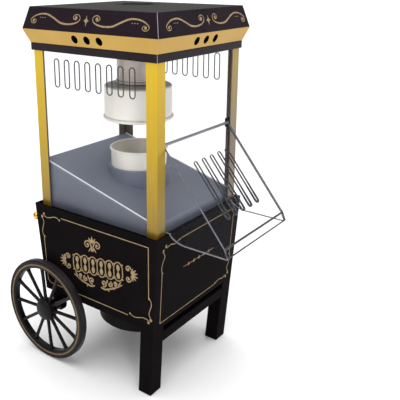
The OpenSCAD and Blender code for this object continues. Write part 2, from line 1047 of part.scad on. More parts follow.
// Wide lower part of the hood
module kettle_bell() {
  color([0.82, 0.82, 0.82])
    rotate_extrude($fn = 96)
      polygon([
        [bell_r - sheet_t, bell_z],
        [bell_r, bell_z],
        [bell_r, shoulder_z],
        [bell_r - 1, shoulder_z + 1],
        [neck_r - sheet_t, shoulder_z + 1],
        [neck_r - sheet_t, shoulder_z],
        [bell_r - sheet_t, shoulder_z]]);
}

module kettle_rim() {
  color([0.85, 0.85, 0.85])
    translate([0, 0, bell_z - 2.6])
      rotate_extrude($fn = 96)
        translate([bell_r - 0.4, 0])
          circle(2.6, $fn = 32);
}

// Cup for the corn, hanging in the well, with a bar to lift it by
module measuring_cup() {
  r = well_r - cup_gap;
  low = seat_z - 24;
  edge = seat_z + free_gap;
  color([0.12, 0.12, 0.12])
    union() {
      rotate_extrude($fn = 96)
        polygon([
          [0, low],
          [r, low],
          [r, edge],
          [seat_r - 0.5, edge],
          [seat_r - 0.5, edge + 1.5],
          [r - 1.2, edge + 1.5],
          [r - 1.2, low + 1.4],
          [0, low + 1.4]]);
      translate([-r + 0.6, -2, edge - 3.5])
        cube([2 * r - 1.2, 4, 5]);
    }
}

base_shell();
base_floor_pan();
base_deck();
front_leg_left();
front_leg_right();
front_rail();
drum_housing();
intake_grille();
motor_bracket();
fan_motor();
fan_shaft();
fan_impeller();
air_duct();
heater_former();
heater_coil();
chamber_tube();
chamber_floor();
chamber_collar();
thermostat();
terminal_block();
switch_housing();
switch_rocker();
cord_inlet_bush();
rear_knobs();
axle_brackets();
axle();
axle_clips();
pan_screws();
wheel_left();
wheel_left_cap();
wheel_right();
wheel_right_cap();
ramp_floor();
ramp_cheeks();
post_front_left();
post_front_right();
post_rear_left();
post_rear_right();
window_left();
window_right();
window_rear();
window_front();
hinge_brackets();
hinge_rod();
door_flap();
door_wing_left();
door_wing_right();
canopy_lower_band();
canopy_gold_band();
canopy_upper_band();
canopy_roof();
canopy_ceiling();
filler_well();
kettle_neck();
kettle_band();
kettle_bell();
kettle_rim();
measuring_cup();
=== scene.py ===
import json
import math
import bmesh
import bpy
import numpy as np
from mathutils import Matrix, Vector

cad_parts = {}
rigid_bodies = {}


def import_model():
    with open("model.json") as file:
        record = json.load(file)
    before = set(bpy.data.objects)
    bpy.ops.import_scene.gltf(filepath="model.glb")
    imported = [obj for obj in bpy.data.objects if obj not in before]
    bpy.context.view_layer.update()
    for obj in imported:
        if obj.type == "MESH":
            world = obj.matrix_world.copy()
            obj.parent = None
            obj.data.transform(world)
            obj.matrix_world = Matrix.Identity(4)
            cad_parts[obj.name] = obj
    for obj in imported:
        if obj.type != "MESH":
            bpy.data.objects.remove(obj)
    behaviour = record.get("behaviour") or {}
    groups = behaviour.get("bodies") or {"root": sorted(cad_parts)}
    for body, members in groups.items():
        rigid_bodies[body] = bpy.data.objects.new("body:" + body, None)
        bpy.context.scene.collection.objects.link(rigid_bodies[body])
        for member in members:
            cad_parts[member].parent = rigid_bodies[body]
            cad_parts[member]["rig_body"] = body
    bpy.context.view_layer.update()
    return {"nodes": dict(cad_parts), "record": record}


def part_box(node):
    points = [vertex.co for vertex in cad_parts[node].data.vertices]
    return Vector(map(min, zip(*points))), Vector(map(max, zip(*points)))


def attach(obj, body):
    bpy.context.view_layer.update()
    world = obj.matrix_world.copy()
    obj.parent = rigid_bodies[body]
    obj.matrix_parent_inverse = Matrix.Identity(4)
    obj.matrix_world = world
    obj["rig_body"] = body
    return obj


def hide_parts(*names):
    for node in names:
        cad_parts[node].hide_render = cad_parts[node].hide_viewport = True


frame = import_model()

mm = 0.001
easing = {"weld": 2e-6, "flatAngle": 0.8, "sharpAngle": 28}
nodes = frame["nodes"]
scene = bpy.context.scene


# Shader helpers

class Val:
    # a socket that can be added, multiplied and raised like a number
    def __init__(self, finish, socket):
        self.finish = finish
        self.socket = socket

    def maths(self, operation, first, second):
        return self.finish.add("ShaderNodeMath", {"operation": operation}, {0: first, 1: second})

    def __add__(self, other):
        return self.maths("ADD", self, other)

    def __mul__(self, other):
        return self.maths("MULTIPLY", self, other)

    def __pow__(self, other):
        return self.maths("POWER", self, other)


class Finish:
    # one material; its Principled shader's own sockets take the fixed values
    def __init__(self, name, **values):
        self.material = bpy.data.materials.new(name)
        self.material.use_nodes = True
        self.tree = self.material.node_tree
        self.shader = self.tree.nodes["Principled BSDF"]
        for socket, value in values.items():
            self.shader.inputs[socket.replace("_", " ")].default_value = value
        self.where = self.add("ShaderNodeTexCoord", output="Object")

    def add(self, kind, settings=None, values=None, output=0):
        node = self.tree.nodes.new(kind)
        for key, value in (settings or {}).items():
            setattr(node, key, value)
        for key, value in (values or {}).items():
            if isinstance(value, Val):
                self.tree.links.new(value.socket, node.inputs[key])
            else:
                node.inputs[key].default_value = value
        return Val(self, node.outputs[output])

    def feed(self, socket, value):
        self.tree.links.new(value.socket, self.shader.inputs[socket])

    def stretched(self, scale):
        return self.add("ShaderNodeMapping", None, {"Vector": self.where, "Scale": scale})

    def noise(self, scale, detail=3.0, stretch=(1, 1, 1)):
        place = self.where if stretch == (1, 1, 1) else self.stretched(stretch)
        return self.add("ShaderNodeTexNoise", None, {"Vector": place, "Scale": scale, "Detail": detail})

    def blend(self, factor, first, second):
        return self.add("ShaderNodeMix", {"data_type": "RGBA"},
                        {0: factor, 6: first, 7: second}, output=2)

    def spread(self, value, low, high, outLow, outHigh):
        return self.add("ShaderNodeMapRange", None,
                        {"Value": value, "From Min": low, "From Max": high,
                         "To Min": outLow, "To Max": outHigh})

    def bump(self, height, strength, distance):
        self.feed("Normal", self.add("ShaderNodeBump", None,
                                     {"Height": height, "Strength": strength, "Distance": distance}))


def rgb(red, green, blue):
    # 0..255 display values to linear
    def linear(v):
        v = v / 255
        return v / 12.92 if v <= 0.04045 else ((v + 0.055) / 1.055) ** 2.4
    return (linear(red), linear(green), linear(blue), 1.0)


# Finishes

def mouldedPlastic(name, dark, light, rough, grain=0.25, specular=0.4, scale=900, ior=1.5):
    # fine moulded grain, faint mottling and uneven sheen
    f = Finish(name, Specular_IOR_Level=specular, IOR=ior)
    cloud = f.noise(26, 4)
    fine = f.noise(scale, 2)
    f.feed("Base Color", f.blend(f.spread(cloud, 0.35, 0.7, 0.0, 1.0), dark, light))
    f.feed("Roughness", f.spread(cloud * 0.6 + fine * 0.4, 0.3, 0.7, rough - 0.06, rough + 0.08))
    f.bump(fine, grain, 0.0002)
    return f.material


def paintedMetal(name, dark, light, rough, metallic=0.0, coat=0.3):
    # sprayed paint: soft orange peel under a thin gloss
    f = Finish(name, Metallic=metallic, Coat_Weight=coat, Coat_Roughness=0.12)
    cloud = f.noise(14, 3)
    peel = f.noise(420, 2)
    f.feed("Base Color", f.blend(f.spread(cloud, 0.3, 0.7, 0.0, 1.0), dark, light))
    f.feed("Roughness", f.spread(peel, 0.3, 0.7, rough - 0.05, rough + 0.07))
    f.bump(peel, 0.06, 0.0003)
    return f.material


def goldPost(name, foot, middle, head):
    # brushed along its height, yellow above and darker, tanner towards its foot: painted shade low down
    f = Finish(name, Metallic=0.35, Coat_Weight=0.12, Coat_Roughness=0.12)
    height = f.add("ShaderNodeSeparateXYZ", None, {0: f.where}, output=2)
    brushed = f.noise(60, 4, (18, 18, 0.6))
    low = f.blend(f.spread(height, 0.22, 0.33, 0.0, 1.0), foot, middle)
    tone = f.blend(f.spread(height, 0.33, 0.43, 0.0, 1.0), low, head)
    f.feed("Base Color", f.blend(f.spread(brushed, 0.35, 0.7, 0.0, 0.12), tone, rgb(232, 202, 48)))
    f.feed("Roughness", f.spread(brushed, 0.3, 0.7, 0.28, 0.42))
    f.bump(brushed, 0.03, 0.0002)
    return f.material


def spunMetal(name, base, bright, rough, rings=900, metallic=1.0):
    # lathe-turned sheet with fine rings round the upright axis
    f = Finish(name, Metallic=metallic)
    lines = f.noise(1.0, 3, (2, 2, rings))
    cloud = f.noise(22, 3)
    f.feed("Base Color", f.blend(f.spread(cloud, 0.3, 0.7, 0.0, 1.0), base, bright))
    f.feed("Roughness", f.spread(lines, 0.3, 0.7, rough - 0.06, rough + 0.08))
    f.bump(lines, 0.03, 0.0002)
    return f.material


def clearPlastic(name, tint, faceOn, sideOn, rough, wearAndSheen):
    # clear sheet: faint face on, stronger where it is seen along its skin
    f = Finish(name, Roughness=rough, Specular_IOR_Level=0.3, IOR=1.2)
    scratches = f.noise(70, 5, (1, 1, 6))
    facing = f.add("ShaderNodeLayerWeight", None, {"Blend": 0.35}, output="Facing")
    f.feed("Base Color", f.blend(f.spread(scratches, 0.45, 0.75, 0.0, 1.0), tint, wearAndSheen))
    f.feed("Alpha", f.spread(facing ** 2.0, 0.0, 1.0, faceOn, sideOn))
    f.material.surface_render_method = "DITHERED"
    return f.material


def sheetRamp(name, paintedShade):
    # enamelled sheet, a little lighter high up; the second argument darkens the whole of it towards dark grey:
    # painted shade
    f = Finish(name, Metallic=0.15, Specular_IOR_Level=0.4)
    height = f.add("ShaderNodeSeparateXYZ", None, {0: f.where}, output=2)
    cloud = f.noise(18, 4)
    tone = f.blend(f.spread(height, 0.225, 0.285, 0.0, 1.0), rgb(112, 116, 131), rgb(128, 133, 148))
    tone = f.blend(f.spread(cloud, 0.3, 0.75, 0.0, 0.35), tone, rgb(142, 147, 161))
    f.feed("Base Color", f.blend(paintedShade, tone, rgb(40, 42, 50)))
    f.feed("Roughness", f.spread(cloud, 0.3, 0.7, 0.4, 0.52))
    f.bump(f.noise(600, 2), 0.05, 0.0002)
    return f.material


def paintLine(name, dark, light):
    # stripe paint, thin in places
    f = Finish(name, Specular_IOR_Level=0.3)
    wearAndSheen = f.noise(320, 4)
    f.feed("Base Color", f.blend(f.spread(wearAndSheen, 0.35, 0.65, 0.0, 1.0), dark, light))
    f.feed("Roughness", f.spread(wearAndSheen, 0.3, 0.7, 0.45, 0.6))
    return f.material


finishes = {
    "body_black": mouldedPlastic("bodyBlack", rgb(15, 12, 13), rgb(21, 17, 18), 0.5, 0.12, 0.3, 900, 1.07),
    "hidden_black": mouldedPlastic("hiddenBlack", rgb(11, 11, 12), rgb(19, 19, 20), 0.6, 0.3, 0.1),
    "canopy_black": mouldedPlastic("canopyBlack", rgb(29, 20, 27), rgb(36, 26, 34), 0.3, 0.05, 0.3, 900, 1.28),
    "roof_grey": mouldedPlastic("roofGrey", rgb(42, 42, 41), rgb(54, 53, 51), 0.55, 0.25, 0.12),
    "band_gold": paintedMetal("bandGold", rgb(180, 140, 50), rgb(192, 152, 60), 0.5, 0.0, 0.1),
    "post_gold": goldPost("postGold", rgb(126, 98, 26), rgb(181, 147, 4), rgb(212, 174, 6)),
    "clear_panel": clearPlastic("clearPanel", rgb(78, 82, 92), 0.03, 0.14, 0.3, rgb(98, 102, 112)),
    "aluminium": spunMetal("spunAluminium", rgb(246, 241, 232), rgb(255, 251, 243), 0.4, 260, 0.15),
    "steel": spunMetal("plainSteel", rgb(120, 120, 124), rgb(158, 158, 162), 0.35, 300),
    "brass": spunMetal("polishedBrass", rgb(196, 150, 52), rgb(232, 192, 96), 0.22, 400),
    "wheel_black": mouldedPlastic("wheelBlack", rgb(14, 11, 12), rgb(23, 18, 20), 0.34, 0.1, 0.4, 900, 1.25),
    "ramp_grey": sheetRamp("rampGrey", 0.0),
    "duct_plastic": mouldedPlastic("ductIvory", rgb(196, 190, 170), rgb(212, 206, 188), 0.5),
    "insulator": mouldedPlastic("insulatorMica", rgb(188, 176, 146), rgb(210, 200, 172), 0.6),
    "rocker_red": mouldedPlastic("rockerRed", rgb(140, 18, 14), rgb(158, 26, 20), 0.3, 0.1, 0.5),
}
stripeGold = paintLine("stripeGold", rgb(140, 118, 84), rgb(166, 143, 106))
ringGold = paintLine("ringGold", rgb(104, 82, 52), rgb(130, 104, 68))
# lighter black for the tread's rounded shoulders: painted highlight
treadHighlight = mouldedPlastic("treadHighlight", rgb(34, 30, 34), rgb(54, 48, 54), 0.34, 0.1, 0.4, 900, 1.25)
darkSteel = spunMetal("darkSteel", rgb(134, 134, 142), rgb(158, 158, 166), 0.4, 200, 0.5)
# light grey for the canopy bands' corner bevels: painted highlight
cornerSheen = paintedMetal("cornerSheen", rgb(150, 140, 152), rgb(178, 168, 180), 0.35)
# darker gold for the front faces of the front-left post: painted shade
postFrontShade = goldPost("postFrontShade", rgb(112, 92, 34), rgb(168, 136, 12), rgb(204, 165, 12))
# darker, greyer gold for the front faces of the front-right post: painted shade
postFrontDeepShade = goldPost("postFrontDeepShade", rgb(112, 96, 84), rgb(122, 106, 90), rgb(156, 130, 62))
# the ramp enamel darkened for the cheeks' side faces: painted shade
cheekShade = sheetRamp("cheekShade", 0.36)
# bright gold for the posts' corner bevels: painted highlight
postEdgeHighlight = goldPost("postEdgeHighlight", rgb(206, 176, 92), rgb(250, 224, 110), rgb(255, 236, 130))
# dull brown for the posts' inner faces: painted shade
postInsideShade = paintedMetal("postInsideShade", rgb(112, 96, 82), rgb(134, 116, 98), 0.5, 0.1, 0.05)
# the spun metal again, darker, for the neck and band up under the roof: painted shade
neckShadedMetal = spunMetal("neckShadedMetal", rgb(176, 164, 156), rgb(196, 184, 176), 0.4, 260, 0.5)
clearEdge = clearPlastic("clearEdge", rgb(74, 75, 82), 0.9, 0.98, 0.3, rgb(96, 97, 104))
doorEdge = clearPlastic("doorEdge", rgb(66, 66, 70), 0.94, 0.99, 0.3, rgb(86, 86, 90))
clearRim = clearPlastic("clearRim", rgb(126, 126, 134), 0.85, 0.95, 0.25, rgb(152, 152, 160))
trimWhite = paintLine("trimWhite", rgb(226, 228, 230), rgb(242, 243, 244))
# dark grey for the groove in the band at the foot of the neck: painted shade
kettleGrooveShade = spunMetal("kettleGrooveShadeFinish", rgb(70, 68, 72), rgb(104, 100, 104), 0.4, 700)

slotOf = {row["node"]: row["material_slot"] for row in frame["record"]["subparts"]}
slotOf.update(measuring_cup="roof_grey", filler_well="roof_grey")
for name, node in nodes.items():
    node.data.materials.clear()
    node.data.materials.append(darkSteel if name == "hinge_rod" else finishes[slotOf[name]])
print("finishes made:", len(finishes))


# Mesh helpers

def pieceFrom(name, verts, faces, material, body, stands=(), slot=None, smoothAngle=40):
    mesh = bpy.data.meshes.new(name)
    mesh.from_pydata([tuple(v) for v in verts], [], faces)
    mesh.validate()
    return place(name, mesh, material, body, stands, slot, smoothAngle)


def place(name, mesh, material, body, stands=(), slot=None, smoothAngle=40):
    bm = bmesh.new()
    bm.from_mesh(mesh)
    bmesh.ops.recalc_face_normals(bm, faces=bm.faces)
    bm.to_mesh(mesh)
    bm.free()
    for m in material if isinstance(material, (list, tuple)) else [material]:
        mesh.materials.append(m)
    mesh.polygons.foreach_set("use_smooth", [True] * len(mesh.polygons))
    mesh.set_sharp_from_angle(angle=math.radians(smoothAngle))
    piece = bpy.data.objects.new(name, mesh)
    scene.collection.objects.link(piece)
    if stands:
        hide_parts(*stands)
    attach(piece, body)
    return piece


def weighted(piece):
    modifier = piece.modifiers.new("evenShading", "WEIGHTED_NORMAL")
    modifier.keep_sharp = True
    return piece


def offPlane(*directions):
    # picks the faces that lie in none of a sheet's own planes
    return lambda face: max(abs(face.normal.dot(Vector(d))) for d in directions) <= 0.97


def easedCopy(nodeName, name, width, segments=2, others=()):
    # the CAD solid again, with its edges broken; others pairs a second finish with the faces it takes
    bm = bmesh.new()
    bm.from_mesh(nodes[nodeName].data)
    bmesh.ops.remove_doubles(bm, verts=bm.verts, dist=easing["weld"])
    bmesh.ops.dissolve_limit(bm, angle_limit=math.radians(easing["flatAngle"]), verts=bm.verts,
                             edges=bm.edges)
    limit = math.radians(easing["sharpAngle"])
    sharp = [e for e in bm.edges if len(e.link_faces) == 2 and e.calc_face_angle(0) > limit]
    if width:
        bmesh.ops.bevel(bm, geom=sharp, offset=width * mm, segments=segments, profile=0.6,
                        affect="EDGES", clamp_overlap=True)
    mesh = bpy.data.meshes.new(name)
    bm.normal_update()
    for index, (_, takes) in enumerate(others):
        for face in bm.faces:
            if takes(face):
                face.material_index = index + 1
    bm.to_mesh(mesh)
    bm.free()
    material = [finishes[slotOf[nodeName]]] + [finish for finish, _ in others]
    piece = place(name, mesh, material, nodes[nodeName]["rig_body"], [nodeName],
                  slotOf[nodeName], 50)
    return weighted(piece)


def turned(profile, segments, toWorld):
    # profile of (radius, along) or (radius, along, material) turned round a local Z
    verts, faces, which = [], [], []
    for k in range(segments):
        a = 2 * math.pi * k / segments
        for p in profile:
            verts.append(toWorld @ Vector((p[0] * mm * math.cos(a), p[0] * mm * math.sin(a), p[1] * mm)))
    n = len(profile)
    for k in range(segments):
        nxt = (k + 1) % segments
        for j in range(n - 1):
            faces.append((k * n + j, nxt * n + j, nxt * n + j + 1, k * n + j + 1))
            which.append(profile[j][2] if len(profile[j]) > 2 else 0)
    return verts, faces, which


def merged(name, parts, material, body, stands=(), slot=None, smoothAngle=40, close=True):
    # several (verts, faces, material indices) as one piece
    verts, faces, which = [], [], []
    for v, f, w in parts:
        faces += [tuple(i + len(verts) for i in face) for face in f]
        verts += v
        which += w
    mesh = bpy.data.meshes.new(name)
    mesh.from_pydata([tuple(v) for v in verts], [], faces)
    mesh.polygons.foreach_set("material_index", which)
    bm = bmesh.new()
    bm.from_mesh(mesh)
    if close:
        bmesh.ops.remove_doubles(bm, verts=bm.verts, dist=1e-6)
        bmesh.ops.dissolve_degenerate(bm, edges=bm.edges, dist=1e-7)
    bm.to_mesh(mesh)
    bm.free()
    return place(name, mesh, material, body, stands, slot, smoothAngle)


def smoothPath(points, steps=8, closed=False):
    # a flowing line through the points
    pts = [Vector(p) for p in points]
    n = len(pts)
    out = []
    spans = n if closed else n - 1
    for i in range(spans):
        if closed:
            p0, p1, p2, p3 = (pts[(i + k) % n] for k in (-1, 0, 1, 2))
        else:
            p1, p2 = pts[i], pts[i + 1]
            p0 = pts[i - 1] if i else p1 + (p1 - p2)
            p3 = pts[i + 2] if i + 2 < n else p2 + (p2 - p1)
        for s in range(steps):
            t = s / steps
            out.append(0.5 * ((2 * p1) + (p2 - p0) * t + (2 * p0 - 5 * p1 + 4 * p2 - p3) * t * t
                              + (3 * p1 - p0 - 3 * p2 + p3) * t * t * t))
    if not closed:
        out.append(pts[-1])
    return out


def strip(path, widths, lift=0.22):
    # a painted line in (u, v) millimetres: slightly domed, as laid paint is
    pts = [Vector((p[0], p[1])) for p in path]
    n = len(pts)
    verts, faces = [], []
    for i, p in enumerate(pts):
        a = pts[i - 1] if i else p
        b = pts[i + 1] if i + 1 < n else p
        d = (b - a).normalized() if (b - a).length > 1e-9 else Vector((1, 0))
        side = Vector((-d.y, d.x))
        w = (widths(i / max(1, n - 1)) if callable(widths) else widths) / 2
        for across, height in ((-1, 0), (-0.55, lift), (0.55, lift), (1, 0)):
            q = p + side * w * across
            verts.append((q.x, q.y, height))
    for i in range(n - 1):
        for k in range(3):
            faces.append((i * 4 + k, i * 4 + k + 4, i * 4 + k + 5, i * 4 + k + 1))
    faces += [(0, 1, 2, 3), (n * 4 - 4, n * 4 - 3, n * 4 - 2, n * 4 - 1)]
    return verts, faces


def blob(centre, rx, ry=None, lift=0.3, sides=20):
    ry = ry or rx
    verts = [(centre[0], centre[1], lift)]
    for ring, h in ((0.6, lift * 0.9), (1.0, 0.0)):
        for k in range(sides):
            a = 2 * math.pi * k / sides
            verts.append((centre[0] + rx * ring * math.cos(a), centre[1] + ry * ring * math.sin(a), h))
    faces = [(0, 1 + k, 1 + (k + 1) % sides) for k in range(sides)]
    faces += [(1 + k, 1 + sides + k, 1 + sides + (k + 1) % sides, 1 + (k + 1) % sides) for k in range(sides)]
    return verts, faces


def lozenge(centre, w, h, lift=0.3):
    x, y = centre
    dx, dy = w * 0.14, h * 0.17
    outer = smoothPath([(x - w / 2, y), (x - dx, y + dy), (x, y + h / 2), (x + dx, y + dy),
                        (x + w / 2, y), (x + dx, y - dy), (x, y - h / 2), (x - dx, y - dy)], 4, True)
    verts = [(x, y, lift)] + [(p.x, p.y, 0.0) for p in outer]
    n = len(outer)
    return verts, [(0, 1 + k, 1 + (k + 1) % n) for k in range(n)]


def painted(name, marks, toFace, material, body, slot=None):
    # marks in a face's own (u, v, lift) millimetres, wrapped on to the face
    verts, faces = [], []
    for v, f in marks:
        faces += [tuple(i + len(verts) for i in face) for face in f]
        verts += v
    return pieceFrom(name, [toFace(*v) for v in verts], faces, material, body, (), slot, 60)


def flipped(marks, u=1, v=1, move=(0, 0)):
    return [([(p[0] * u + move[0], p[1] * v + move[1], p[2]) for p in vs], fs) for vs, fs in marks]


def curl(centre, radius, start, turns, inward, n=22):
    # spiral from its outside in; angles in degrees, turning by the sign of turns
    out = []
    for k in range(n + 1):
        t = k / n
        a = math.radians(start + 360 * turns * t)
        r = radius * (1 - (1 - inward) * t)
        out.append((centre[0] + r * math.cos(a), centre[1] + r * math.sin(a)))
    return out


# Base, legs and rail

baseLook = {"edge": 0.9, "legEdge": 0.8}
easedCopy("base_shell", "baseShell", baseLook["edge"])
easedCopy("front_leg_left", "legLeft", baseLook["legEdge"])
easedCopy("front_leg_right", "legRight", baseLook["legEdge"])
easedCopy("front_rail", "legRail", baseLook["legEdge"])
easedCopy("base_deck", "baseDeck", 0)
print("base done")


# Painted lines on the base

baseFaces = {"topZ": 228.0, "halfX": 98.0, "halfY": 106.2, "leanX": 0.03, "leanY": 0.07, "skin": 0.02}


def onBaseSide(side):
    # u runs towards the back on the left face, z up
    def toFace(u, z, lift):
        x = baseFaces["halfX"] - baseFaces["leanX"] * (baseFaces["topZ"] - z) + lift + baseFaces["skin"]
        return Vector((side * x * mm, u * mm, z * mm))
    return toFace


def onBaseFront(side):
    def toFace(u, z, lift):
        y = baseFaces["halfY"] - baseFaces["leanY"] * (baseFaces["topZ"] - z) + lift + baseFaces["skin"]
        return Vector((u * mm, side * y * mm, z * mm))
    return toFace


frameLine = {"wide": 1.25, "top": 216.2, "low": 110.0, "frontSide": -93.2, "backSide": 93.2}


def frameCorner():
    # the ornate corner: two wavy tails from a small curl, drawn for the upper back corner
    marks = [strip(smoothPath([(60.4, 213.0), (66.6, 215.2), (73.2, 213.9), (81.1, 211.2), (87.4, 211.2),
                               (91.3, 213.4), (91.2, 216.0), (89.0, 216.4)], 8), 1.15)]
    marks += [strip(smoothPath([(92.6, 180.9), (94.9, 183.0), (95.7, 188.9), (93.3, 196.1), (91.6, 202.4),
                                (93.6, 207.4), (95.6, 209.6), (94.9, 211.9), (92.9, 211.6)], 8), 1.15)]
    marks += [blob((60.2, 212.6), 1.5), blob((92.4, 180.4), 1.5),
              blob((89.6, 215.2), 1.4), blob((93.4, 210.4), 1.4)]
    return marks


def sideFrame():
    f = frameLine
    corner = frameCorner()
    midU, midZ = 0.0, (f["top"] + f["low"]) / 2
    opposite = [([(2 * midU - p[0], 2 * midZ - p[1], p[2]) for p in vs], fs) for vs, fs in corner]
    lines = [strip([(56.5, f["top"]), (f["frontSide"], f["top"])], f["wide"]),
             strip([(f["frontSide"], f["top"] + 0.6), (f["frontSide"] + 1.6, 146.0)], f["wide"]),
             strip([(-56.5, f["low"]), (f["backSide"] - 7, f["low"] - 0.6), (f["backSide"] - 1, 113.5)],
                   f["wide"]),
             strip([(f["backSide"] - 1, 113.3), (f["backSide"], 178.6)], f["wide"])]
    return corner + opposite + lines


def leaf(root, tip, wide):
    # pointed leaf between two points
    return strip(smoothPath([root, ((root[0] + tip[0]) / 2, (root[1] + tip[1]) / 2), tip], 5),
                 lambda t: 0.5 + wide * math.sin(math.pi * min(1.0, 0.12 + t * 0.86)))


def fleur(x, y, s):
    # three leaves over a pair of curls
    marks = [leaf((x, y + 0.1 * s), (x, y + 0.62 * s), 3.2)]
    for side in (-1, 1):
        marks.append(leaf((x + side * 0.06 * s, y + 0.16 * s), (x + side * 0.3 * s, y + 0.5 * s), 2.2))
        arc = [(x + side * (0.44 * s + u), y + v) for u, v in curl((0, 0), 0.3 * s, 150, -1.2, 0.22)]
        stem = [(x + side * 0.05 * s, y - 0.46 * s), (x + side * 0.09 * s, y - 0.1 * s)]
        marks.append(strip(smoothPath(stem + arc[1:], 3), lambda t: 2.1 - 0.7 * t))
        marks.append(blob((x + side * 0.44 * s, y), 1.3))
        marks.append(leaf((x + side * 0.02 * s, y - 0.12 * s), (x + side * 0.34 * s, y - 0.5 * s), 1.8))
    return marks


def palm(x, y, s, side):
    # a fan of leaves that opens to one side, with a curl above and below its root
    marks = []
    for angle, reach in ((66, 0.86), (40, 1.0), (14, 1.05), (-14, 1.05), (-40, 1.0), (-66, 0.86)):
        a = math.radians(angle)
        marks.append(leaf((x + side * s * 0.16 * math.cos(a), y + s * 0.16 * math.sin(a)),
                          (x + side * s * reach * math.cos(a), y + s * reach * math.sin(a)), 2.3))
    for up in (-1, 1):
        arc = curl((0, 0), 0.4 * s, 180, -1.25, 0.2)
        marks.append(strip([(x - side * (0.34 * s + u), y + up * (v + 0.62 * s)) for u, v in arc],
                           lambda t: 2.0 - 0.6 * t))
        marks.append(blob((x - side * 0.34 * s, y + up * 0.62 * s), 1.3))
    return marks


def underScroll(x, y, side):
    # leafy running scroll that rises away from the middle
    stem = [(x, y - 5.4), (x + side * 7, y - 7.2), (x + side * 16, y - 4.8), (x + side * 27, y - 0.6),
            (x + side * 38, y + 5.6)]
    curls = ((5.4, 1.4, 5.2, 250, 1.3), (16.6, 2.2, 4.3, 80, -1.2), (25.6, 5.2, 3.6, 250, 1.2))
    leaves = ((10.5, 2.5, 12.5, 8.6), (20.6, -1.0, 24.6, -4.0), (31.0, 3.0, 35.6, 9.6),
              (12.0, -4.4, 14.6, -9.2))
    marks = [strip(smoothPath(stem, 8), lambda t: 2.6 - 1.9 * abs(t - 0.35))]
    for du, dv, r, start, turns in curls:
        marks.append(strip([(x + side * (du + u), y + dv + v) for u, v in curl((0, 0), r, start, turns, 0.2)],
                           lambda t: 2.1 - 0.6 * t))
        marks.append(blob((x + side * du, y + dv), 1.3))
    for du, dv, eu, ev in leaves:
        marks.append(leaf((x + side * du, y + dv), (x + side * eu, y + ev), 1.9))
    return marks


def arcade(x0, x1, y, tall):
    # a row of tall lozenges under small arches: the panel's main band
    marks = []
    count = 6
    step = (x1 - x0) / count
    for k in range(count):
        c = x0 + step * (k + 0.5)
        marks.append(leaf((c, y - tall / 2), (c, y), 5.4))
        marks.append(leaf((c, y + tall / 2), (c, y), 5.4))
        turn = [math.pi * j / 12 for j in range(13)]
        for up in (1, -1):
            marks.append(strip([(c + step * 0.42 * math.cos(a),
                                 y + up * (tall * 0.36 + step * 0.42 * math.sin(a))) for a in turn], 1.5))
    for k in range(count + 1):
        c = x0 + step * k
        marks.append(strip([(c, y - tall * 0.36), (c, y + tall * 0.36)], 1.7))
        marks.append(blob((c, y + tall * 0.52), 1.2))
        marks.append(blob((c, y - tall * 0.52), 1.2))
    return marks


def centreMarks():
    # a generic show-cart panel, in u measured towards the front; it climbs a little towards the front
    marks = fleur(-1.0, 193.5, 20.0) + arcade(-38.0, 50.0, 163.0, 20.0)
    marks += palm(-51.5, 163.0, 11.5, -1) + palm(63.5, 163.0, 11.5, 1)
    marks += underScroll(0.0, 139.5, -1) + underScroll(11.0, 139.5, 1)
    climb = 0.13
    return [([(-p[0], p[1] + climb * (p[0] - 6.0), p[2]) for p in vs], fs) for vs, fs in marks]


painted("sideLinesLeft", sideFrame() + centreMarks(), onBaseSide(-1), stripeGold, "cabinet", "post_gold")
painted("sideLinesRight", sideFrame() + centreMarks(), onBaseSide(1), stripeGold, "cabinet", "post_gold")


def frontFrame():
    # curls at the upper left and lower right, plain mitred corners elsewhere
    corner = [strip(smoothPath([(-49.0, 213.6), (-59.0, 211.0), (-68.0, 213.2), (-74.5, 211.6), (-78.6, 213.0),
                                (-78.2, 215.4), (-76.2, 215.2)], 8), 1.15),
              strip(smoothPath([(-82.2, 178.4), (-84.0, 185.0), (-82.6, 192.8), (-79.0, 199.5), (-80.8, 205.4),
                                (-83.6, 208.6), (-82.6, 210.8), (-81.0, 210.0)], 8), 1.15),
              blob((-48.6, 213.4), 1.4), blob((-82.0, 178.0), 1.5),
              blob((-77.0, 214.4), 1.3), blob((-81.8, 209.6), 1.3)]
    midZ = 160.2
    opposite = [([(-p[0], 2 * midZ - p[1], p[2]) for p in vs], fs) for vs, fs in corner]
    lines = [strip([(-45.5, 214.2), (82.6, 214.2)], 1.1), strip([(82.6, 214.8), (82.4, 144.0)], 1.1),
             strip([(-82.4, 176.4), (-80.4, 106.0)], 1.1), strip([(-80.4, 105.6), (45.5, 106.2)], 1.1)]
    return corner + opposite + lines


painted("frontLines", frontFrame() + [strip([(-36, 168.8), (36, 168.8)], 0.9)]
        + [lozenge((u, 168.8), 6.2, 6.8) for u in (-24, -12, 0, 12, 24)],
        onBaseFront(-1), stripeGold, "cabinet", "post_gold")
painted("backLines", frontFrame(), onBaseFront(1), stripeGold, "cabinet", "post_gold")
print("painted lines done")


# Canopy

canopyLook = {"edge": 1.5, "foot": 465.5, "top": 493.0, "footX": 99.0, "footY": 110.0,
              "topX": 91.5, "topY": 102.5, "frontShift": 4.0, "frontScale": 0.89, "skin": 0.02}
# corner bevel faces of the upper and lower bands take the light grey: painted highlight
wearAndSheen = [(cornerSheen, lambda face: min(abs(face.normal.x), abs(face.normal.y)) > 0.55)]
easedCopy("canopy_upper_band", "upperBand", canopyLook["edge"], 3, wearAndSheen)
easedCopy("canopy_lower_band", "lowerBand", 1.0, 3, wearAndSheen)
# the small wall faces round the band's vent holes take the hidden black: painted shade in the holes
ventWallShade = [(finishes["hidden_black"], lambda face: face.calc_area() < 5 * mm * mm)]
easedCopy("canopy_gold_band", "goldBand", 0, 1, ventWallShade)
easedCopy("canopy_roof", "roofSheet", 0.5)


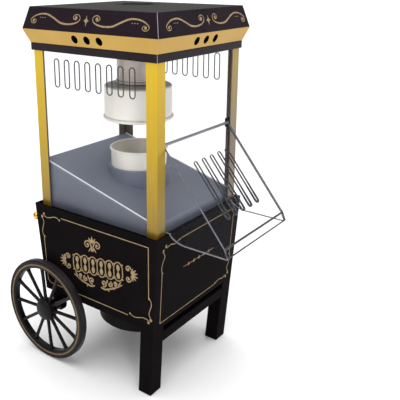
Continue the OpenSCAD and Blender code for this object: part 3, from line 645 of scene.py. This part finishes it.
def onCanopy(side, front):
    c = canopyLook
    def toFace(u, z, lift):
        t = (z - c["foot"]) / (c["top"] - c["foot"])
        if front:
            y = c["footY"] + (c["topY"] - c["footY"]) * t + lift + c["skin"]
            return Vector((u * mm, side * y * mm, z * mm))
        x = c["footX"] + (c["topX"] - c["footX"]) * t + lift + c["skin"]
        return Vector((side * x * mm, u * mm, z * mm))
    return toFace


def canopyScroll():
    # half of a face's scroll, from the middle outwards
    path = smoothPath([(18.6, 480.4), (20.6, 481.0), (21.4, 483.2), (18.9, 485.6), (15.0, 486.0), (11.6, 484.6),
                       (10.2, 482.0), (11.4, 479.2), (16.0, 476.6), (23.0, 474.9), (32.0, 474.3), (42.3, 475.4),
                       (52.6, 479.6), (62.8, 483.5), (71.5, 484.9), (82.0, 483.9), (90.0, 481.0), (94.6, 477.6),
                       (94.4, 474.8), (91.0, 473.1), (87.2, 473.6), (85.6, 475.6),
                       (86.4, 477.6), (89.0, 478.0)], 6)
    def width(t):
        return 1.0 + 1.15 * math.sin(math.pi * min(1.0, max(0.0, (t - 0.22) / 0.56))) ** 1.4
    marks = [strip(path, width, lift=0.25), blob((16.8, 482.2), 2.2, 2.0), blob((90.0, 476.2), 2.0, 1.7)]
    marks.append(strip(smoothPath([(18.6, 480.4), (16.6, 480.2), (15.6, 481.6)], 5), 1.2))
    for u in (70.4, 74.2, 78.0):
        marks.append(blob((u, 480.2), 0.85, 0.6, sides=10))
    return marks


def canopyMarks(scale, shift):
    half = canopyScroll()
    return flipped(half, scale, 1, (shift, 0)) + flipped(half, -scale, 1, (shift, 0)) + \
        [lozenge((shift, 479.6), 7.6, 12.5, 0.35)]


painted("canopyScrollLeft", canopyMarks(1, 0), onCanopy(-1, False), stripeGold, "canopy", "post_gold")
painted("canopyScrollRight", canopyMarks(1, 0), onCanopy(1, False), stripeGold, "canopy", "post_gold")
painted("canopyScrollFront", canopyMarks(canopyLook["frontScale"], canopyLook["frontShift"]),
        onCanopy(-1, True), stripeGold, "canopy", "post_gold")
painted("canopyScrollBack", canopyMarks(canopyLook["frontScale"], 0), onCanopy(1, True), stripeGold, "canopy",
        "post_gold")
print("canopy done")


# Posts and clear panels

for corner in ("front_left", "front_right", "rear_left", "rear_right"):
    row, side = corner.split("_")
    outX, outY = (-1 if side == "left" else 1), (-1 if row == "front" else 1)
    # inner faces take a dull brown: painted shade
    others = [(postInsideShade, lambda face: face.normal.x * outX < -0.9 or face.normal.y * outY < -0.9)]
    # corner bevel faces take a brighter gold: painted highlight
    others.append((postEdgeHighlight, lambda face: min(abs(face.normal.x), abs(face.normal.y)) > 0.55))
    # the front posts' front faces take a darker gold: painted shade
    if row == "front":
        others.append((postFrontShade if side == "left" else postFrontDeepShade, lambda face: face.normal.y < -0.9))
    easedCopy("post_" + corner, "post" + row.title() + side.title(), 0.7, 2, others)
for row, across in (("left", (1, 0, 0)), ("right", (1, 0, 0)), ("front", None), ("rear", (0, 1, 0))):
    easedCopy("window_" + row, "pane" + row.title(), 0, 1, [(clearEdge, offPlane(across))] if across else [])

slots = {"count": 8, "pitch": 17.8, "wide": 8.0, "long": 36.0, "low": 393.0, "shiftRight": 6.0, "bead": 0.75}


def beadRing(centre, along, across, half, radius, bead, normal, swell=0.0, n=12):
    # a rounded bead round a long slot, thicker by swell at its far end; along and across are unit vectors
    c, a, b, m = Vector(centre), Vector(along), Vector(across), Vector(normal)
    line = []
    for k in range(n + 1):
        t = math.pi * k / n
        line.append(c + a * (half + radius * math.sin(t)) + b * (radius * math.cos(t)))
    for k in range(n + 1):
        t = math.pi * k / n
        line.append(c - a * (half + radius * math.sin(t)) - b * (radius * math.cos(t)))
    count = len(line)
    verts, faces = [], []
    for i, p in enumerate(line):
        d = (line[(i + 1) % count] - line[i - 1]).normalized()
        out = d.cross(m).normalized()
        thick = bead * (1 + swell * (p - c).dot(a) / (half + radius))
        for k in range(8):
            t = 2 * math.pi * k / 8
            verts.append((p + out * thick * math.cos(t) + m * thick * math.sin(t)) * mm)
    for i in range(count):
        j = (i + 1) % count
        for k in range(8):
            faces.append((i * 8 + k, j * 8 + k, j * 8 + (k + 1) % 8, i * 8 + (k + 1) % 8))
    return verts, faces, [0] * len(faces)


def paneBeads(name, side, shift):
    low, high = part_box("window_left" if side < 0 else "window_right")
    x = (low.x + high.x) / 2 / mm
    half = slots["long"] / 2 - slots["wide"] / 2
    rings = []
    for i in range(slots["count"]):
        y = (i - (slots["count"] - 1) / 2) * slots["pitch"] - shift
        rings.append(beadRing((x, y, slots["low"] + slots["long"] / 2), (0, 0, 1), (0, 1, 0), half,
                              slots["wide"] / 2, slots["bead"], (1, 0, 0)))
    return merged(name, rings, clearEdge, "cabinet", (), "clear_panel", 60)


paneBeads("slotBeadsLeft", -1, 0.0)
paneBeads("slotBeadsRight", 1, slots["shiftRight"])
print("cabinet panels done")


# Door

door = {"angle": 39.0, "slots": 5, "pitch": 17.8, "first": 35.0, "last": 109.0, "wide": 3.0,
        "bead": 0.9, "swell": 0.6}
h = math.radians(door["angle"])
flapAlong = Vector((0, -math.sin(h), -math.cos(h)))
flapOut = Vector((0, -math.cos(h), math.sin(h)))
lipAlong = Vector((0, -math.sin(h - math.radians(16)), -math.cos(h - math.radians(16))))
lipOut = Vector((0, lipAlong.z, -lipAlong.y))
hingeLow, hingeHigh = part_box("hinge_rod")
hinge = Vector((0, (hingeLow.y + hingeHigh.y) / 2, (hingeLow.z + hingeHigh.z) / 2)) / mm
onFlapEdge = offPlane(flapOut, lipOut)
easedCopy("door_flap", "doorFlap", 0, 1, [
    (clearEdge, lambda face: onFlapEdge(face) and face.calc_center_median().z < (hinge.z - 5) * mm)])
easedCopy("door_wing_left", "doorWingLeft", 0, 1, [(clearEdge, offPlane((1, 0, 0)))])
easedCopy("door_wing_right", "doorWingRight", 0, 1, [(clearEdge, offPlane((1, 0, 0)))])
ribs = []
for i in range(door["slots"]):
    x = (i - 2) * door["pitch"]
    middle = hinge + flapAlong * (door["first"] + door["last"]) / 2 + Vector((x, 0, 0))
    ribs.append(beadRing(middle, flapAlong, (1, 0, 0), (door["last"] - door["first"]) / 2, door["wide"],
                         door["bead"], flapOut, door["swell"]))
merged("doorSlotBeads", ribs, doorEdge, "door", (), "clear_panel", 60)


def tube(points, radius, sides=8):
    pts = [Vector(p) for p in points]
    verts, faces = [], []
    for i, p in enumerate(pts):
        d = (pts[min(i + 1, len(pts) - 1)] - pts[max(i - 1, 0)]).normalized()
        first = d.cross(Vector((0, 0, 1)) if abs(d.z) < 0.9 else Vector((1, 0, 0))).normalized()
        second = d.cross(first)
        for k in range(sides):
            a = 2 * math.pi * k / sides
            verts.append((p + first * radius * math.cos(a) + second * radius * math.sin(a)) * mm)
    for i in range(len(pts) - 1):
        for k in range(sides):
            after = (k + 1) % sides
            faces.append((i * sides + k, (i + 1) * sides + k, (i + 1) * sides + after, i * sides + after))
    faces += [tuple(range(sides)), tuple(len(verts) - sides + k for k in range(sides))]
    return verts, faces, [0] * len(faces)


doorRim = {"half": 72.7, "long": 140.0, "lip": 11.0, "low": 218.5, "wall": -106.4, "fine": 0.8, "bold": 1.3}
tip = hinge + flapAlong * doorRim["long"]
lipEnd = tip + lipAlong * doorRim["lip"]
fine, bold = [], []
for side in (-1, 1):
    x = side * (doorRim["half"] - 0.4)
    offset = Vector((x, 0, 0))
    fine.append(tube([hinge + flapAlong * 4 + offset, tip + offset, lipEnd + offset], doorRim["fine"]))
    w = doorRim["wall"]
    notch = smoothPath([(x, w - 0.2, 229.2), (x, w - 1.6, 226.3), (x, w - 5.5, 223.4), (x, w - 11, 220.8),
                        (x, w - 16.5, 219.2), (x, w - 23, 218.5)], 4)
    fine.append(tube([(x, -97.7, 229.2)] + notch + [(x, lipEnd.y + 0.6, doorRim["low"]), lipEnd + offset],
                     doorRim["fine"]))
for at, size in ((tip, doorRim["bold"]), (lipEnd, 0.9)):
    reach = Vector((doorRim["half"] - 0.5, 0, 0))
    bold.append(tube([at - reach, at + reach], size))
merged("doorRimFine", fine, clearRim, "door", (), "clear_panel", 60)
merged("doorRimBold", bold, doorEdge, "door", (), "clear_panel", 60)
print("door done")


# Ramp trim

ramp = {"front": -94.7, "back": 96.7, "angle": 14.7, "height": 265.5, "half": 85.2}
trim = []
for side in (-1, 1):
    pts = []
    for y in np.linspace(ramp["front"] + 0.3, ramp["back"] - 0.3, 24):
        z = ramp["height"] + y * math.tan(math.radians(ramp["angle"]))
        pts.append(Vector((side * ramp["half"], y, z + 0.4)))
    verts, faces = [], []
    for p in pts:
        for dx, dz in ((-0.9, 0.0), (-0.6, 0.9), (0.0, 1.1), (0.15, 0.5), (0.15, -1.6), (-0.9, -1.0)):
            verts.append(Vector((p.x + side * dx, p.y, p.z + dz)) * mm)
    for i in range(len(pts) - 1):
        for k in range(6):
            faces.append((i * 6 + k, (i + 1) * 6 + k, (i + 1) * 6 + (k + 1) % 6, i * 6 + (k + 1) % 6))
    faces += [tuple(range(6)), tuple(len(verts) - 6 + k for k in range(6))]
    trim.append((verts, faces, [0] * len(faces)))
merged("rampTrim", trim, trimWhite, "cabinet", (), "ramp_grey", 40)


# Kettle hood

kettle = {"neck": 28.0, "bell": 45.5, "bellLow": 351.5, "shoulder": 391.5, "top": 448.0}


def kettlePieces():
    k = kettle
    up = Matrix.Identity(4)
    low, high = k["bellLow"], k["shoulder"]
    bell = [(k["bell"] - 1.0, low + 0.5), (k["bell"], low), (k["bell"] + 0.15, low + 6)]
    for j in range(7):
        t = math.pi / 2 * j / 6
        bell.append((k["bell"] - 3.2 + 3.2 * math.cos(t), high - 3.2 + 3.2 * math.sin(t) + 0.4))
    bell += [(36.0, high + 0.9), (k["neck"] + 1.4, high + 1.0), (k["neck"] - 1.0, high + 0.9),
             (k["neck"] - 1.0, high - 0.2), (k["bell"] - 3.4, high - 0.6), (k["bell"] - 1.1, high - 4.0),
             (k["bell"] - 1.0, low + 0.5)]
    merged("kettleBell", [turned(bell, 96, up)], finishes["aluminium"], "canopy", ["kettle_bell"],
           "aluminium", 35)
    neck = [(k["neck"] - 1, high + 1), (k["neck"], high + 1), (k["neck"], k["top"] - 2),
            (k["neck"] + 1.0, k["top"] - 0.4), (k["neck"] + 6, k["top"]), (k["neck"] + 6, k["top"] + 3),
            (k["neck"] - 1, k["top"] + 3), (k["neck"] - 1, high + 1)]
    merged("kettleNeck", [turned(neck, 96, up)], neckShadedMetal, "canopy", ["kettle_neck"], "aluminium", 35)
    band = [(k["neck"], high + 1.3), (k["neck"] + 1.3, high + 1.6), (k["neck"] + 1.6, high + 2.6, 1),
            (k["neck"] + 0.7, high + 3.1, 1), (k["neck"] + 1.6, high + 3.7),
            (k["neck"] + 1.6, high + 6.0), (k["neck"] + 1.1, high + 6.9),
            (k["neck"], high + 7.2), (k["neck"], high + 1.3)]
    merged("kettleBand", [turned(band, 96, up)], [neckShadedMetal, kettleGrooveShade], "canopy", ["kettle_band"],
           "steel", 35)
    roll = [(k["bell"] - 0.4 + 2.5 * math.cos(a), low - 2.6 + 2.5 * math.sin(a)) for a in
            [2 * math.pi * j / 20 for j in range(21)]]
    merged("kettleRim", [turned(roll, 96, up)], finishes["aluminium"], "canopy", ["kettle_rim"],
           "aluminium", 35)


kettlePieces()
print("kettle done")


# Wheels

wheel = {"axleY": 85.0, "axleZ": 74.0, "inner": 101.1, "rim": 11.0, "radius": 74.0, "rimHeight": 12.0,
         "spokes": 12, "spokeTurn": -5.0, "hub": 15.5, "face": 113.6, "boss": 84.5, "round": 2.2}


def wheelPieces(side, name, node, capNode, body):
    w = wheel
    toWorld = Matrix.Translation(Vector((0, w["axleY"] * mm, w["axleZ"] * mm))) @ \
        Matrix.Rotation(math.radians(90 * side), 4, "Y")
    a0, a1 = w["inner"], w["inner"] + w["rim"]
    mid = (a0 + a1) / 2
    rimR, inside = w["radius"], w["radius"] - w["rimHeight"]
    rim = [(inside, mid - 3.6), (inside, mid + 3.6), (inside + 1.0, a1 - 0.9), (inside + 2.2, a1 - 0.25),
           (inside + 3.8, a1 - 0.1), (inside + 4.2, a1 - 0.4, 1), (inside + 4.5, a1 - 0.15, 1),
           (inside + 6.1, a1 - 0.1, 1), (inside + 6.4, a1 - 0.4), (inside + 6.8, a1 - 0.3)]
    # faces marked 2 on the tread's rounded shoulders take the lighter tread black: painted highlight
    for j in range(9):
        t = math.pi / 2 * j / 8
        rim.append((rimR - w["round"] * (1 - math.sin(t)), a1 - 0.1 - w["round"] * (1 - math.cos(t)),
                    2 if j > 4 else 0))
    for j in range(1, 9):
        t = math.pi / 2 * j / 8
        rim.append((rimR - w["round"] * (1 - math.cos(t)), a0 + 0.1 + w["round"] * (1 - math.sin(t)),
                    2 if j < 4 else 0))
    rim += [(inside + 2.2, a0 + 0.25), (inside + 1.0, a0 + 0.9), (inside, mid - 3.6)]
    parts = [turned(rim, 144, toWorld)]
    for i in range(w["spokes"]):
        angle = math.radians(i * 360 / w["spokes"] + w["spokeTurn"] + 90)
        aim = Vector((0, math.cos(angle), math.sin(angle)))
        flat = Vector((0, -aim.z, aim.y))
        out = Vector((side, 0, 0))
        centre = Vector((side * mid, w["axleY"], w["axleZ"]))
        verts, faces = [], []
        rings = ((8.0, 3.1), (15.0, 3.1), (18.5, 2.5), (32.0, 2.35), (52.0, 2.45), (58.5, 2.7),
                 (inside + 1.0, 3.3))
        for reach, r in rings:
            for k in range(12):
                t = 2 * math.pi * k / 12
                verts.append((centre + aim * reach + flat * r * math.cos(t) + out * r * math.sin(t)) * mm)
        for j in range(len(rings) - 1):
            for k in range(12):
                faces.append((j * 12 + k, j * 12 + (k + 1) % 12, (j + 1) * 12 + (k + 1) % 12, (j + 1) * 12 + k))
        parts.append((verts, faces, [0] * len(faces)))
    hubR = w["hub"]
    hub = [(4.1, w["boss"]), (8.4, w["boss"]), (9.0, w["boss"] + 0.6), (9.0, a0 - 1.4), (hubR - 1.4, a0 - 1.0),
           (hubR - 0.4, a0 - 0.2), (hubR, a0 + 1.4), (hubR, w["face"] - 2.2), (hubR - 0.7, w["face"] - 0.6),
           (hubR - 1.8, w["face"] - 0.1), (8.0, w["face"] - 0.1), (8.0, w["face"] - 5),
           (4.1, w["face"] - 5), (4.1, w["boss"])]
    parts.append(turned(hub, 64, toWorld))
    merged(name, parts, [finishes["wheel_black"], ringGold, treadHighlight], body, [node], "wheel_black", 38,
           close=False)
    cap = [(0.0, w["face"] + 3.0), (4.5, w["face"] + 2.85), (9.0, w["face"] + 2.4), (12.0, w["face"] + 1.5),
           (hubR - 2.0, w["face"] + 0.5), (hubR - 1.6, w["face"] - 0.1), (0.0, w["face"] - 0.1)]
    merged(name + "Cap", [turned(cap, 48, toWorld)], finishes["wheel_black"], body, [capNode],
           "wheel_black", 38)


wheelPieces(-1, "wheelLeft", "wheel_left", "wheel_left_cap", "left_wheel")
wheelPieces(1, "wheelRight", "wheel_right", "wheel_right_cap", "right_wheel")
print("wheels done")


# Cup, hangers, switch, hinge blocks, drum and ramp

for nodeName, name, width in (("measuring_cup", "measuringCup", 0.25), ("axle_brackets", "axleHangers", 0.6),
                              ("switch_housing", "switchBezel", 0.3), ("switch_rocker", "switchRocker", 0.4),
                              ("hinge_brackets", "hingeBlocks", 0.3), ("drum_housing", "fanDrum", 0.0),
                              ("ramp_floor", "rampFloor", 0.0)):
    easedCopy(nodeName, name, width)
# the cheeks' side faces take the darkened ramp enamel: painted shade
easedCopy("ramp_cheeks", "rampCheeks", 0.0, 1, [(cheekShade, lambda face: abs(face.normal.x) > 0.9)])
print("small parts done")


# Floor, light and camera

studio = {"floor": 0.92, "world": 0.4, "wall": 1.0, "sky": 3.0, "key": 3.4, "fill": 1.1, "front": 3.0,
          "skyAngle": 75, "floorSize": 90, "floorDrop": 0.0006}


def studioSet():
    bpy.ops.mesh.primitive_plane_add(size=studio["floorSize"])
    floor = bpy.context.object
    floor.name = "studioFloor"
    f = Finish("studioFloorPaint", Roughness=0.85, Specular_IOR_Level=0.1)
    cloud = f.noise(1.5, 2)
    v = studio["floor"]
    f.feed("Base Color", f.blend(cloud, (v, v, v, 1), (v + 0.02, v + 0.02, v + 0.02, 1)))
    floor.data.materials.append(f.material)
    floor.location.z = -studio["floorDrop"]
    world = bpy.data.worlds.new("studioWorld")
    world.use_nodes = True
    backdrop = world.node_tree.nodes["Background"]
    backdrop.inputs["Color"].default_value = (1, 1, 1, 1)
    seen = world.node_tree.nodes.new("ShaderNodeLightPath")
    level = world.node_tree.nodes.new("ShaderNodeMapRange")  # pale wall behind, softer light from it
    level.inputs["To Min"].default_value = studio["world"]
    level.inputs["To Max"].default_value = studio["wall"]
    world.node_tree.links.new(seen.outputs["Is Camera Ray"], level.inputs["Value"])
    world.node_tree.links.new(level.outputs["Result"], backdrop.inputs["Strength"])
    scene.world = world
    sky = bpy.data.lights.new("overheadLight", "SUN")
    sky.energy = studio["sky"]
    sky.angle = math.radians(studio["skyAngle"])
    lamp = bpy.data.objects.new("overheadLight", sky)
    scene.collection.objects.link(lamp)


def softBox(name, location, aim, size, power):
    light = bpy.data.lights.new(name, "AREA")
    light.shape = "RECTANGLE"
    light.size, light.size_y = size
    light.energy = power
    lamp = bpy.data.objects.new(name, light)
    lamp.location = location
    lamp.rotation_mode = "QUATERNION"
    lamp.rotation_quaternion = (Vector(aim) - Vector(location)).to_track_quat("-Z", "Y")
    scene.collection.objects.link(lamp)


studioSet()
softBox("keyLight", (-1.5, -0.1, 1.0), (0, 0, 0.3), (0.9, 1.2), studio["key"])
softBox("fillLight", (0.5, -1.7, 0.9), (0, 0, 0.3), (1.0, 1.0), studio["fill"])
softBox("frontLight", (-0.87, -1.09, 0.82), (-0.09, -0.1, 0.46), (0.2, 0.4), studio["front"])

view = {"place": (-0.62664, -0.51468, 0.53666), "yaw": 52.652, "pitch": 16.484, "lens": 55.306,
        "shiftX": 0.10, "shiftY": -0.12}


def makeCamera():
    data = bpy.data.cameras.new("viewCamera")
    data.sensor_width = 36
    data.lens = view["lens"]
    data.shift_x = view["shiftX"]
    data.shift_y = view["shiftY"]
    data.clip_start, data.clip_end = 0.01, 50
    camera = bpy.data.objects.new("viewCamera", data)
    camera.location = view["place"]
    yaw, pitch = math.radians(view["yaw"]), math.radians(view["pitch"])
    aim = Vector((math.sin(yaw) * math.cos(pitch), math.cos(yaw) * math.cos(pitch), -math.sin(pitch)))
    camera.rotation_mode = "QUATERNION"
    camera.rotation_quaternion = aim.to_track_quat("-Z", "Y")
    scene.collection.objects.link(camera)
    scene.camera = camera


makeCamera()
scene.view_settings.view_transform = "Standard"
print("studio done")
